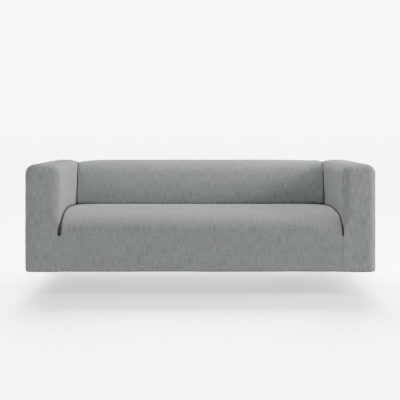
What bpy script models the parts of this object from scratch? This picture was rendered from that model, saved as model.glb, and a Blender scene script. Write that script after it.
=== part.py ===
"""A fitted stretch slipcover for a two-seat sofa with box arms, sewn from nine panels.

The cover is modelled in cover coordinates, in metres: X across, Y back from the front face and
Z up from the hem. An empty then carries it to its own frame, whose origin lies under the middle
of the seat panel. Each panel is an open sheet of cloth, thickened inwards with Solidify. Panels
of the arms and the rear are cut from the faces of a sharp pattern box, which skin() wraps
over the sofa's rounded edges. The seat and the backrest are flat grids swept along a profile.
"""

import math

import bmesh
import bpy

# Sofa that the cover fits
WIDTH = 1.800
DEPTH = 0.880
HEIGHT = 0.545              # from the hem to the top of the arms and the backrest
ARM_INNER = 0.726           # from the middle to an arm's inner face
SEAT_DEPTH = 0.560          # from the front face to the backrest, at the seat
SEAT_HEIGHT = 0.290         # at the seat's ends, where it meets the arms
WATERFALL_DROP = 0.090      # height of the seat's rounded front
WATERFALL_RUN = 0.155       # depth of the seat's rounded front
BACK_LEAN_LOW = math.radians(11)    # from upright, where the backrest's front leaves the seat
BACK_LEAN_HIGH = math.radians(28)   # where it rolls over its top
BACK_TOP_RADIUS = 0.130
BACK_FLAT_RUN = 0.100       # the backrest's end shoulders flatten over this much before its seam

# Cloth and sewing
CLOTH = 0.0022
SEAM_GAP = 0.0003           # between the two panels of a seam
HEM_RADIUS = 0.014
HEM_RETURN = 0.018          # flat part of the hem, under the sofa
CREASE_ALLOWANCE = 0.014    # cloth turned down into a crease
SEAM_ALLOWANCE = 0.006      # cloth turned in at a flat seam
CREASE_SHOULDER = 0.009
SEAM_SHOULDER = 0.003

# Soft edges of the arms, as radii along each axis
EDGE_X = 0.044
EDGE_Y = 0.034
EDGE_Z = 0.048
SHARP_EDGE = 0.0005         # an edge that a seam holds flat
SEAM_BEYOND_EDGE = 0.002    # how far past a rounded edge its seam runs
PATTERN_MARGIN = 0.004      # between a pattern line and the rounding beside it

# The arm's inner front edge is flat in the apron's seam and rounds out above it
TUCK_END = 0.185
TUCK_OPEN = 0.300
TUCK_EASE = 0.030           # the crease shoulder grows over this much above and below TUCK_END

# The valley on top, where the arms meet the backrest
VALLEY_DEPTH = 0.0155
VALLEY_ON_ARM = 0.062
VALLEY_ON_BACK = 0.065
VALLEY_FRONT = (0.620, 0.720)
VALLEY_FLARE = 0.030        # how far the valley drifts outwards on its way back
VALLEY_EDGE_SHARE = 0.15    # what is left of the arm's inner top rounding in the valley
VALLEY_BASE = 0.450         # height where the valley starts to lower the arm's inner face

# Fullness over the seat
SEAT_CROWN = 0.006
CROWN_EASE = 0.050

HALF_WIDTH = WIDTH / 2
ARM_MIDDLE = (ARM_INNER + HALF_WIDTH) / 2
SIDE_SEAM = HALF_WIDTH - EDGE_X - SEAM_BEYOND_EDGE
FRONT_SEAM = EDGE_Y + SEAM_BEYOND_EDGE
REAR_SEAM = DEPTH - EDGE_Y - SEAM_BEYOND_EDGE
HEM_CURL = HEM_RADIUS * math.pi / 2
HALF_GAP = SEAM_GAP / 2
WATERFALL_START = SEAT_HEIGHT - WATERFALL_DROP
SEAT_CREASE_TOP = SEAT_HEIGHT + SEAT_CROWN

# The backrest's profile: a wide arc up the front, a tight one over the top and a level top
BACK_FRONT = SEAT_DEPTH + HALF_GAP
BACK_ARC_HEIGHT = HEIGHT - BACK_TOP_RADIUS * (1 - math.sin(BACK_LEAN_HIGH))
BACK_FACE_RADIUS = ((BACK_ARC_HEIGHT - SEAT_CREASE_TOP)
                    / (math.sin(BACK_LEAN_HIGH) - math.sin(BACK_LEAN_LOW)))
BACK_ARC_DEPTH = BACK_FRONT + BACK_FACE_RADIUS * (math.cos(BACK_LEAN_LOW)
                                                  - math.cos(BACK_LEAN_HIGH))
BACK_TOP_START = BACK_ARC_DEPTH + BACK_TOP_RADIUS * math.cos(BACK_LEAN_HIGH)
TOP_DEPTHS = (BACK_TOP_START, 0.765, 0.790, 0.815, REAR_SEAM - HALF_GAP)

# Where the panels are divided, so that they follow their curves
SECTION_STATIONS = (0.0, 0.03, 0.08, 0.16, 0.32)        # in from the ends of a swept panel
EDGE_STEPS = (0.0, 0.5, 1.0)                            # across half a rounded edge
HEM_STATIONS = tuple(HEM_RADIUS - HEM_CURL * share for share in (1.0, 2 / 3, 1 / 3, 0.0))
HEM_END = HEM_RADIUS - HEM_CURL - HEM_RETURN
TOP_STATIONS = (HEIGHT - EDGE_Z, HEIGHT - EDGE_Z / 2, HEIGHT)
TUCK_STATIONS = (0.205, 0.230, 0.260, TUCK_OPEN, 0.400)  # up the arm's front, where it opens
REAR_STATIONS = (0.0, 0.38, 0.58, 0.67, 0.72)           # across the rear panel, from its middle
REAR_ARM_STATIONS = (0.785, 0.805)
ARM_TOP_STATIONS = (ARM_MIDDLE - 0.01, ARM_MIDDLE + 0.01)
ARM_DEPTHS = (0.05, 0.08, 0.11, WATERFALL_RUN, 0.36)    # back along an arm's inner face
ARM_BACK_DEPTHS = (0.60, 0.64, 0.69)                  # where the backrest's front meets it

# The frame's origin: under the cloth in the middle of the seat
ORIGIN = (0.0, SEAT_DEPTH / 2, SEAT_HEIGHT + SEAT_CROWN - CLOTH)

CLOTH_COLOUR = (0.25, 0.27, 0.26, 1.0)
CLOTH_ROUGHNESS = 0.92


def ease(value, start, end):
    """0 before start, 1 after end, and smooth between."""
    share = min(max((value - start) / (end - start), 0.0), 1.0)
    return share * share * (3 - 2 * share)


# --- The sofa's shape ---------------------------------------------------------------------

def seam_line(depth):
    """How far from the middle an arm meets the backrest, at a depth."""
    return ARM_INNER + VALLEY_FLARE * ease(depth, BACK_TOP_START, REAR_SEAM)


def valley(across, depth):
    """How far the top sinks at a place near the seam between an arm and the backrest."""
    deepest = VALLEY_DEPTH * ease(depth, *VALLEY_FRONT)
    past_seam = abs(across) - seam_line(depth)
    if past_seam < 0:
        return deepest * math.exp(past_seam / VALLEY_ON_BACK)
    return deepest * max(0.0, 1 - past_seam / VALLEY_ON_ARM) ** 1.5


def seat_edge_height(depth):
    """Height of the seat's end, where it meets an arm."""
    ahead = max(0.0, (WATERFALL_RUN - depth) / WATERFALL_RUN)
    return WATERFALL_START + WATERFALL_DROP * math.sqrt(max(0.0, 1 - ahead * ahead))


def back_face_height(depth):
    """Height where the backrest's leaning front reaches a depth."""
    lean = math.acos(math.cos(BACK_LEAN_LOW) - (depth - BACK_FRONT) / BACK_FACE_RADIUS)
    return SEAT_CREASE_TOP + BACK_FACE_RADIUS * (math.sin(lean) - math.sin(BACK_LEAN_LOW))


def round_off(value, low, high, radius):
    """The centre that a value rounds about, and its reach from there, from -1 to 1."""
    centre = min(max(value, low + radius), high - radius)
    return centre, (value - centre) / radius


def skin(across, depth, height, on_arm):
    """The finished surface's point for a point of the sharp pattern box.

    Below the hem's radius, height counts down along the cloth as it turns under the sofa.
    """
    turned = max(0.0, HEM_RADIUS - height)
    curl = min(turned / HEM_RADIUS, math.pi / 2)
    inset = HEM_RADIUS * (1 - math.cos(curl)) + max(0.0, turned - HEM_CURL)
    if turned:
        height = HEM_RADIUS * (1 - math.sin(curl))

    edge_x, edge_y, edge_z = EDGE_X, EDGE_Y, EDGE_Z
    inner_side = -HALF_WIDTH
    if on_arm:
        flare = seam_line(depth) - ARM_INNER
        across += flare * max(0.0, (SIDE_SEAM - across) / (SIDE_SEAM - ARM_INNER))
        if across < ARM_MIDDLE and not turned:
            inner_side = ARM_INNER + flare
            opened = max(ease(height, TUCK_END, TUCK_OPEN), SHARP_EDGE / EDGE_Y)
            kept = 1 - (1 - VALLEY_EDGE_SHARE) * ease(depth, *VALLEY_FRONT)
            edge_x *= opened * kept
            edge_y *= opened
            edge_z *= kept

    sunk = valley(across, depth)
    top = HEIGHT - sunk
    height -= sunk * max(0.0, (height - VALLEY_BASE) / (HEIGHT - VALLEY_BASE))

    x_centre, x_reach = round_off(across, inner_side, HALF_WIDTH, edge_x)
    y_centre, y_reach = round_off(depth, 0.0, DEPTH, edge_y)
    z_centre, z_reach = round_off(height, -HEIGHT, top, edge_z)
    stretch = max(math.hypot(x_reach, y_reach, z_reach), 1.0)
    return (
        x_centre + (edge_x - inset) * x_reach / stretch,
        y_centre + (edge_y - inset) * y_reach / stretch,
        z_centre + edge_z * z_reach / stretch,
    )


# --- Shared making ------------------------------------------------------------------------

def cloth_material():
    material = bpy.data.materials.new("waffle_knit")
    material.use_nodes = True
    shader = material.node_tree.nodes["Principled BSDF"]
    shader.inputs["Base Color"].default_value = CLOTH_COLOUR
    shader.inputs["Roughness"].default_value = CLOTH_ROUGHNESS
    shader.inputs["Metallic"].default_value = 0.0
    return material


def add_panel(name, sheet, making):
    """Make a panel of an open sheet whose faces point out, thickened inwards."""
    mesh = bpy.data.meshes.new(name)
    sheet.to_mesh(mesh)
    sheet.free()
    mesh.shade_smooth()
    mesh.set_sharp_from_angle(angle=math.radians(40))
    mesh.materials.append(making["material"])
    panel = bpy.data.objects.new(name, mesh)
    panel.parent = making["frame"]
    making["collection"].objects.link(panel)
    thickness = panel.modifiers.new("Cloth", "SOLIDIFY")
    thickness.thickness = CLOTH
    thickness.offset = -1
    thickness.use_even_offset = True
    return panel


def pattern_box(across, depths, heights):
    """A closed box whose faces are divided at the stations along each axis."""
    box = bmesh.new()
    bmesh.ops.create_cube(box, size=1.0)
    for vert in box.verts:
        for axis, stations in enumerate((across, depths, heights)):
            vert.co[axis] = stations[0] if vert.co[axis] < 0 else stations[-1]
    for axis, stations in enumerate((across, depths, heights)):
        normal = [float(axis == index) for index in range(3)]
        for station in stations[1:-1]:
            bmesh.ops.bisect_plane(
                box, geom=box.verts[:] + box.edges[:] + box.faces[:], dist=1e-6,
                plane_co=[station * part for part in normal], plane_no=normal)
    return box


def keep_faces(box, wanted):
    """Keep the faces whose centre and normal are wanted."""
    spare = [face for face in box.faces if not wanted(face.calc_center_median(), face.normal)]
    bmesh.ops.delete(box, geom=spare, context="FACES")


def wrap(box, on_arm, side=1):
    """Wrap the pattern over the sofa's edges, on its right side or mirrored to its left."""
    for vert in box.verts:
        across, depth, height = vert.co
        x, y, z = skin(abs(across), depth, height, on_arm)
        vert.co = (side * math.copysign(x, across), y, z)
    if side < 0:
        bmesh.ops.reverse_faces(box, faces=box.faces)


def sweep(sections):
    """An open sheet from equally long rows of points, from bottom to top."""
    rows = len(sections) - 1
    columns = len(sections[0]) - 1
    sheet = bmesh.new()
    bmesh.ops.create_grid(sheet, x_segments=columns, y_segments=rows, size=0.5)
    for vert in sheet.verts:
        column = round((vert.co.x + 0.5) * columns)
        row = round((vert.co.y + 0.5) * rows)
        vert.co = sections[row][column]
    return sheet


def normals(profile):
    """Outward unit normals of a profile of (depth, height) points that runs up and back."""
    found = []
    for index in range(len(profile)):
        before = profile[max(index - 1, 0)]
        after = profile[min(index + 1, len(profile) - 1)]
        along = (after[0] - before[0], after[1] - before[1])
        length = math.hypot(*along)
        found.append((-along[1] / length, along[0] / length))
    return found


def section(point, normal, half_width, shoulder, allowance, fullness):
    """One row of a swept panel: its width, with both ends turned in.

    fullness(inward) says how far the cloth stands out at a distance in from its end.
    """
    end = fullness(0)
    corner = shoulder * (1 - math.sin(math.radians(45)))
    half = [(half_width, end - allowance), (half_width, end - shoulder)]
    half.append((half_width - corner, end - corner))
    half += [(half_width - shoulder - inward, fullness(inward)) for inward in SECTION_STATIONS]
    half.append((0.0, fullness(half_width)))
    whole = [(-x, out) for x, out in half] + [(x, out) for x, out in reversed(half[:-1])]
    return [(x, point[0] + normal[0] * out, point[1] + normal[1] * out) for x, out in whole]


# --- Panels -------------------------------------------------------------------------------

def seat_front(making):
    """Seat top, rounded front edge and apron, with its hem and a turned-down rear edge."""
    rear = SEAT_DEPTH - HALF_GAP
    profile = [(HEM_RADIUS + HEM_RETURN, 0.0)]
    for degrees in (90, 60, 30, 0):
        turn = math.radians(degrees)
        profile.append((HEM_RADIUS * (1 - math.cos(turn)), HEM_RADIUS * (1 - math.sin(turn))))
    profile += [(0.0, TUCK_END / 2), (0.0, TUCK_END)]
    waterfall_steps = 9
    for step in range(waterfall_steps + 1):
        turn = math.pi / 2 * step / waterfall_steps
        profile.append((WATERFALL_RUN * (1 - math.cos(turn)),
                        WATERFALL_START + WATERFALL_DROP * math.sin(turn)))
    profile.append(((WATERFALL_RUN + SEAT_DEPTH) / 2, SEAT_HEIGHT))
    flat_rows = len(profile)
    for degrees in (0, 45, 90):
        turn = math.radians(degrees)
        profile.append((rear - CREASE_SHOULDER * (1 - math.sin(turn)),
                        SEAT_HEIGHT - CREASE_SHOULDER * (1 - math.cos(turn))))
    profile.append((rear, SEAT_HEIGHT - CREASE_ALLOWANCE))

    sections = []
    for row, (point, normal) in enumerate(zip(profile, normals(profile))):
        depth, height = point
        creased = ease(height, TUCK_END - TUCK_EASE, TUCK_END + TUCK_EASE)
        shoulder = SEAM_SHOULDER + (CREASE_SHOULDER - SEAM_SHOULDER) * creased
        allowance = SEAM_ALLOWANCE + (CREASE_ALLOWANCE - SEAM_ALLOWANCE) * creased
        crown = SEAT_CROWN * ease(height, WATERFALL_START, SEAT_HEIGHT)
        if row >= flat_rows:
            # Over the turned-down rear edge, the crown lifts the cloth straight up
            crown = SEAT_CROWN
            normal = (0.0, 1.0)
        sections.append(section(
            point, normal, ARM_INNER - SEAM_GAP, shoulder, allowance,
            lambda inward: crown * (1 - math.exp(-inward / CROWN_EASE))))
    sheet = sweep(sections)
    # The rear edge's allowance ends where the allowances of the seat's ends begin
    shoulder_start = ARM_INNER - SEAM_GAP - CREASE_SHOULDER
    rear_edge = rear - SEAM_GAP
    spare = [face for face in sheet.faces
             if abs(face.calc_center_median().x) > shoulder_start
             and face.calc_center_median().y > rear_edge]
    bmesh.ops.delete(sheet, geom=spare, context="FACES")
    add_panel("seat_front", sheet, making)


def back_inner(making):
    """The backrest's leaning front, rolled over its top, with its bottom and ends turned in."""
    profile = [(BACK_FRONT, SEAT_HEIGHT - CREASE_ALLOWANCE)]
    face_steps = 4
    for step in range(face_steps):
        lean = BACK_LEAN_LOW + (BACK_LEAN_HIGH - BACK_LEAN_LOW) * step / face_steps
        rise = math.sin(lean) - math.sin(BACK_LEAN_LOW)
        retreat = math.cos(BACK_LEAN_LOW) - math.cos(lean)
        profile.append((BACK_FRONT + BACK_FACE_RADIUS * retreat,
                        SEAT_CREASE_TOP + BACK_FACE_RADIUS * rise))
    arc_steps = 6
    for step in range(arc_steps):
        turn = BACK_LEAN_HIGH + (math.pi / 2 - BACK_LEAN_HIGH) * step / arc_steps
        profile.append((BACK_TOP_START - BACK_TOP_RADIUS * math.cos(turn),
                        HEIGHT - BACK_TOP_RADIUS * (1 - math.sin(turn))))
    profile += [(depth, HEIGHT) for depth in TOP_DEPTHS]

    sections = []
    for point, normal in zip(profile, normals(profile)):
        depth, height = point
        flattened = ease(depth, REAR_SEAM - BACK_FLAT_RUN, REAR_SEAM)
        shoulder = CREASE_SHOULDER + (SEAM_SHOULDER - CREASE_SHOULDER) * flattened
        sunk = VALLEY_DEPTH * ease(height, SEAT_CREASE_TOP, HEIGHT)
        sections.append(section(
            point, normal, seam_line(depth) - SEAM_GAP, shoulder, CREASE_ALLOWANCE,
            lambda inward: -sunk * math.exp(-inward / VALLEY_ON_BACK)))
    add_panel("back_inner", sweep(sections), making)


def back_outer(making):
    """The rear panel, over the rear top edge, with its hem."""
    end = SIDE_SEAM - HALF_GAP
    right = [*REAR_STATIONS, ARM_INNER + VALLEY_FLARE, *REAR_ARM_STATIONS, end]
    across = [-x for x in reversed(right[1:])] + right
    depths = [REAR_SEAM + HALF_GAP] + [DEPTH - EDGE_Y * step for step in reversed(EDGE_STEPS)]
    heights = [HEM_END, *HEM_STATIONS, HEIGHT / 2, VALLEY_BASE, *TOP_STATIONS]
    box = pattern_box(across, depths, heights)
    keep_faces(box, lambda centre, normal: normal.y > 0.5 or normal.z > 0.5)
    wrap(box, on_arm=False)
    add_panel("back_outer", box, making)


def arm_outer(label, side, making):
    """An arm's outer side, round its front, top and rear edges, with its hem."""
    across = [SIDE_SEAM + HALF_GAP] + [HALF_WIDTH - EDGE_X * step for step in reversed(EDGE_STEPS)]
    depths = [EDGE_Y * step for step in EDGE_STEPS] + [DEPTH / 3, DEPTH * 2 / 3]
    depths += [DEPTH - EDGE_Y * step for step in reversed(EDGE_STEPS)]
    heights = [HEM_END, *HEM_STATIONS, HEIGHT / 2, *TOP_STATIONS]
    box = pattern_box(across, depths, heights)
    keep_faces(box, lambda centre, normal: normal.x > -0.5 and normal.z > -0.5)
    wrap(box, on_arm=False, side=side)
    add_panel("arm_outer_" + label, box, making)


def arm_front(label, side, making):
    """An arm's front facing, round its inner and top edges, with its hem."""
    across = [ARM_INNER + EDGE_X * step for step in EDGE_STEPS] + [ARM_MIDDLE, SIDE_SEAM - HALF_GAP]
    depths = [EDGE_Y * step for step in EDGE_STEPS] + [FRONT_SEAM - HALF_GAP]
    strip_bottom = HEM_RADIUS + PATTERN_MARGIN
    heights = [HEM_END, *HEM_STATIONS, strip_bottom, TUCK_END / 2, TUCK_END]
    heights += [*TUCK_STATIONS, *TOP_STATIONS]
    box = pattern_box(across, depths, heights)

    def wanted(centre, normal):
        on_inner_side = normal.x < -0.5 and centre.z > strip_bottom
        return normal.y < -0.5 or normal.z > 0.5 or on_inner_side

    keep_faces(box, wanted)
    wrap(box, on_arm=True, side=side)
    add_panel("arm_front_" + label, box, making)


def arm_lower_edge(depth):
    """Where an arm's inner panel ends, below the seat and behind the backrest's front."""
    if depth < SEAT_DEPTH + CREASE_ALLOWANCE:
        return seat_edge_height(depth) - CREASE_ALLOWANCE
    behind_back = back_face_height(depth - CREASE_ALLOWANCE) - CREASE_ALLOWANCE
    return min(max(behind_back, SEAT_HEIGHT - CREASE_ALLOWANCE), VALLEY_BASE + CREASE_ALLOWANCE)


def arm_inner(label, side, making):
    """An arm's inner face, rolled over the arm's top."""
    across = [ARM_INNER + EDGE_X * step for step in EDGE_STEPS]
    across += [*ARM_TOP_STATIONS, SIDE_SEAM - HALF_GAP]
    depths = [FRONT_SEAM + HALF_GAP, *ARM_DEPTHS, SEAT_DEPTH + CREASE_ALLOWANCE]
    depths += [*ARM_BACK_DEPTHS, *TOP_DEPTHS]
    warp_top = HEIGHT - EDGE_Z - PATTERN_MARGIN
    heights = [0.0, warp_top / 3, warp_top * 2 / 3, warp_top, *TOP_STATIONS]
    box = pattern_box(across, depths, heights)
    keep_faces(box, lambda centre, normal: normal.x < -0.5 or normal.z > 0.5)
    for vert in box.verts:
        share = max(0.0, 1 - vert.co.z / warp_top)
        vert.co.z += share * arm_lower_edge(vert.co.y)
    wrap(box, on_arm=True, side=side)
    add_panel("arm_inner_" + label, box, making)


# --- The cover ----------------------------------------------------------------------------

def main():
    for item in list(bpy.data.objects):
        bpy.data.objects.remove(item, do_unlink=True)
    collection = bpy.data.collections.new("sofa_slipcover")
    bpy.context.scene.collection.children.link(collection)
    frame = bpy.data.objects.new("cover_frame", None)
    frame.location = [-part for part in ORIGIN]
    collection.objects.link(frame)
    making = {"collection": collection, "frame": frame, "material": cloth_material()}

    seat_front(making)
    back_inner(making)
    back_outer(making)
    for label, side in (("left", -1), ("right", 1)):
        arm_inner(label, side, making)
        arm_front(label, side, making)
        arm_outer(label, side, making)


main()
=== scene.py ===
"""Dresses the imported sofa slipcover: nine sewn panels of heathered waffle knit.

Shapes are worked out in cover coordinates, in metres: X across, Y back from the front face and
Z up from the hem. ORIGIN carries them to the shared frame. Each panel is an open sheet of fine
quads that follows its CAD solid, with the soft unevenness of stretched knit, given the cloth's
thickness at the end.
"""

import math

import bpy
import numpy as np
from mathutils import Euler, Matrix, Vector, noise
from mathutils.kdtree import KDTree


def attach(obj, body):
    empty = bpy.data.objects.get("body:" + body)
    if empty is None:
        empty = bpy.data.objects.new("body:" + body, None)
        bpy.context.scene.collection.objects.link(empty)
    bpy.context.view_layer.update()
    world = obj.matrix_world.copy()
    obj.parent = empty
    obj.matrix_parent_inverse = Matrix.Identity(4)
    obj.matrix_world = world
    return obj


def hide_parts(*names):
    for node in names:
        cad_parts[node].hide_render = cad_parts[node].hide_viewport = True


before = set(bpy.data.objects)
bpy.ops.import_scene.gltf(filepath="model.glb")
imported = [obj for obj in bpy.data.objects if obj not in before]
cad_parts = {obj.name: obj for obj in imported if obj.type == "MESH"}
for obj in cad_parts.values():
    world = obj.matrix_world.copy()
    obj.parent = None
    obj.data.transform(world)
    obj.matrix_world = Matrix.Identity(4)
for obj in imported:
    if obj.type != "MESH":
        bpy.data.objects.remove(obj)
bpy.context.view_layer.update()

# The sofa that the cover fits, as in the CAD model
WIDTH = 1.800
DEPTH = 0.880
HEIGHT = 0.545
ARM_INNER = 0.726
SEAT_DEPTH = 0.560
SEAT_HEIGHT = 0.290
WATERFALL_DROP = 0.090
WATERFALL_RUN = 0.155
BACK_LEAN_LOW = math.radians(11)
BACK_LEAN_HIGH = math.radians(28)
BACK_TOP_RADIUS = 0.130
BACK_FLAT_RUN = 0.100
CLOTH = 0.0022
SEAM_GAP = 0.0003
HEM_RADIUS = 0.014
HEM_RETURN = 0.018
CREASE_ALLOWANCE = 0.018
SEAM_ALLOWANCE = 0.006
CREASE_SHOULDER = 0.0055    # with the slot, as wide as the solid's shoulder
CREASE_SLOT = 0.0035        # how far a crease stays open between its two panels
SEAM_SHOULDER = 0.0008
EDGE_X = 0.044
EDGE_Y = 0.034
EDGE_Z = 0.048
SHARP_EDGE = 0.0005
SEAM_BEYOND_EDGE = 0.002
PATTERN_MARGIN = 0.004
TUCK_END = 0.185
TUCK_OPEN = 0.300
TUCK_EASE = 0.006
VALLEY_DEPTH = 0.0155
VALLEY_ON_ARM = 0.062
VALLEY_ON_BACK = 0.065
VALLEY_FRONT = (0.620, 0.720)
SHARPER_EDGE = (0.580, 0.690)
VALLEY_FLARE = 0.030
VALLEY_EDGE_SHARE = 0.15
VALLEY_BASE = 0.450
SEAT_CROWN = 0.006
CROWN_EASE = 0.050

HALF_WIDTH = WIDTH / 2
ARM_MIDDLE = (ARM_INNER + HALF_WIDTH) / 2
SIDE_SEAM = HALF_WIDTH - EDGE_X - SEAM_BEYOND_EDGE
FRONT_SEAM = EDGE_Y + SEAM_BEYOND_EDGE
REAR_SEAM = DEPTH - EDGE_Y - SEAM_BEYOND_EDGE
HEM_CURL = HEM_RADIUS * math.pi / 2
HEM_END = HEM_RADIUS - HEM_CURL - HEM_RETURN
HALF_GAP = SEAM_GAP / 2
WATERFALL_START = SEAT_HEIGHT - WATERFALL_DROP
SEAT_CREASE_TOP = SEAT_HEIGHT + SEAT_CROWN
BACK_FRONT = SEAT_DEPTH + HALF_GAP
BACK_ARC_HEIGHT = HEIGHT - BACK_TOP_RADIUS * (1 - math.sin(BACK_LEAN_HIGH))
BACK_FACE_RADIUS = ((BACK_ARC_HEIGHT - SEAT_CREASE_TOP)
                    / (math.sin(BACK_LEAN_HIGH) - math.sin(BACK_LEAN_LOW)))
BACK_ARC_DEPTH = BACK_FRONT + BACK_FACE_RADIUS * (math.cos(BACK_LEAN_LOW)
                                                  - math.cos(BACK_LEAN_HIGH))
BACK_TOP_START = BACK_ARC_DEPTH + BACK_TOP_RADIUS * math.cos(BACK_LEAN_HIGH)
ORIGIN = np.array((0.0, SEAT_DEPTH / 2, SEAT_HEIGHT + SEAT_CROWN - CLOTH))

SEAT_RISE = 0.010           # of the seat's middle over the solid's level seat
RISE_FRONT = (0.12, 0.30)
RISE_REAR = (0.34, SEAT_DEPTH)
REAR_SHOULDER = 0.009       # of the seat's turned-down rear edge
BACK_TUCK = 0.006           # how far the backrest's foot turns back into its crease
BACK_TUCK_RISE = 0.009
STEP = 0.010                # between the lines of quads where a panel is flat
REAR_STEP = 0.013           # the same across the rear panel
ARM_STEP = 0.008            # the same on an arm's front and across its top
ROUND_STEPS = 7             # quads across a rounded edge
HEM_STEPS = 7               # quads round the hem's curl
RETURN_STEPS = 2            # quads across the hem's flat return
TURN_STATIONS = 6           # places round a turned-in edge
BACK_FOOT_ROWS = 4
SEAT_FRONT_ROWS = 34
BACK_FACE_ROWS = 27
BACK_TOP_ROWS = 12
SHARP_ANGLE = math.radians(40)
# Quads up to each share of the way from a swept panel's end to its middle
END_QUADS = ((0.03, 5), (0.10, 6), (0.25, 9), (1.0, 26))
INNER_EDGE_QUADS = (0.012, 6)       # width and quads of the strip beside an arm's inner front edge
REAR_END_STRIP = 0.12               # of the rear panel, beside the arm's inner side
FACE_QUADS = 24                     # up each of the two parts of an arm's inner face
SEAM_DIP = 0.0004                   # how far the cloth sinks at a seam
SEAM_REACH = 0.004                  # how far from the seam it starts to sink
BESIDE_SEAM = (0.0008, 0.0018, 0.0032, 0.006)       # lines of quads beside a seam


# --- Numbers along an axis -------------------------------------------------------------

def ease(value, start, end):
    """0 before start, 1 after end, and smooth between."""
    share = np.clip((value - start) / (end - start), 0.0, 1.0)
    return share * share * (3 - 2 * share)


def stations(*stops, step=STEP):
    """Numbers through all the stops, in order, no more than a step apart.

    A stop may be a pair (number, quads), for a fixed count of quads before it.
    """
    found = [stops[0]]
    for stop in stops[1:]:
        stop, quads = stop if isinstance(stop, tuple) else (stop, None)
        before = found[-1]
        quads = quads or max(1, math.ceil(abs(stop - before) / step - 1e-6))
        found += [before + (stop - before) * n / quads for n in range(1, quads + 1)]
    return found


# --- The sofa's shape -------------------------------------------------------------------

def seam_line(depth):
    """How far from the middle an arm meets the backrest, at a depth."""
    return ARM_INNER + VALLEY_FLARE * ease(depth, BACK_TOP_START, REAR_SEAM)


def valley(across, depth):
    """How far the top sinks at a place near the seam between an arm and the backrest."""
    deepest = VALLEY_DEPTH * ease(depth, *VALLEY_FRONT)
    past_seam = across - seam_line(depth)
    on_back = np.exp(np.minimum(past_seam, 0.0) / VALLEY_ON_BACK)
    on_arm = np.maximum(0.0, 1 - past_seam / VALLEY_ON_ARM) ** 1.5
    return deepest * np.where(past_seam < 0, on_back, on_arm)


def seat_edge_height(depth):
    """Height of the seat's end, where it meets an arm."""
    ahead = np.maximum(0.0, (WATERFALL_RUN - depth) / WATERFALL_RUN)
    level = WATERFALL_START + WATERFALL_DROP * np.sqrt(np.maximum(0.0, 1 - ahead * ahead))
    return level + seat_rise(depth)


def seat_rise(depth):
    """How far the seat swells up between its rounded front and the backrest."""
    return SEAT_RISE * ease(depth, *RISE_FRONT) * (1 - ease(depth, *RISE_REAR))


def back_face_height(depth):
    """Height where the backrest's leaning front reaches a depth."""
    retreat = np.maximum(0.0, depth - BACK_FRONT)
    lean = np.arccos(math.cos(BACK_LEAN_LOW) - retreat / BACK_FACE_RADIUS)
    return SEAT_CREASE_TOP + BACK_FACE_RADIUS * (np.sin(lean) - math.sin(BACK_LEAN_LOW))


def round_off(value, low, high, radius):
    """The centre that a value rounds about, and its reach from there, from -1 to 1."""
    centre = np.minimum(np.maximum(value, low + radius), high - radius)
    return centre, (value - centre) / radius


def skin(pattern, on_arm):
    """Finished surface points for points of the sharp pattern box, on the right-hand side.

    Below the hem's radius, height counts down along the cloth as it turns under the sofa.
    """
    across, depth, height = pattern.T
    turned = np.maximum(0.0, HEM_RADIUS - height)
    curl = np.minimum(turned / HEM_RADIUS, math.pi / 2)
    inset = HEM_RADIUS * (1 - np.cos(curl)) + np.maximum(0.0, turned - HEM_CURL)
    height = np.where(turned > 0, HEM_RADIUS * (1 - np.sin(curl)), height)

    edge_x = np.full_like(across, EDGE_X)
    edge_y = np.full_like(across, EDGE_Y)
    edge_z = np.full_like(across, EDGE_Z)
    inner_side = np.full_like(across, -HALF_WIDTH)
    if on_arm:
        flare = seam_line(depth) - ARM_INNER
        across = across + flare * np.maximum(0.0, (SIDE_SEAM - across) / (SIDE_SEAM - ARM_INNER))
        inner = (across < ARM_MIDDLE) & (turned == 0)
        opened = np.maximum(ease(height, TUCK_END, TUCK_OPEN), SHARP_EDGE / EDGE_Y)
        kept = 1 - (1 - VALLEY_EDGE_SHARE) * ease(depth, *SHARPER_EDGE)
        inner_side = np.where(inner, ARM_INNER + flare, inner_side)
        edge_x = np.where(inner, edge_x * opened * kept, edge_x)
        edge_y = np.where(inner, edge_y * opened, edge_y)
        edge_z = np.where(inner, edge_z * kept, edge_z)

    sunk = valley(np.abs(across), depth)
    height = height - sunk * np.maximum(0.0, (height - VALLEY_BASE) / (HEIGHT - VALLEY_BASE))
    x_centre, x_reach = round_off(across, inner_side, HALF_WIDTH, edge_x)
    y_centre, y_reach = round_off(depth, 0.0, DEPTH, edge_y)
    z_centre, z_reach = round_off(height, -HEIGHT, HEIGHT - sunk, edge_z)
    stretch = np.maximum(np.sqrt(x_reach**2 + y_reach**2 + z_reach**2), 1.0)
    return np.column_stack((
        x_centre + (edge_x - inset) * x_reach / stretch,
        y_centre + (edge_y - inset) * y_reach / stretch,
        z_centre + edge_z * z_reach / stretch,
    ))


# --- Open sheets: pattern points, quads and their place on the flat cloth ----------------

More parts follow.
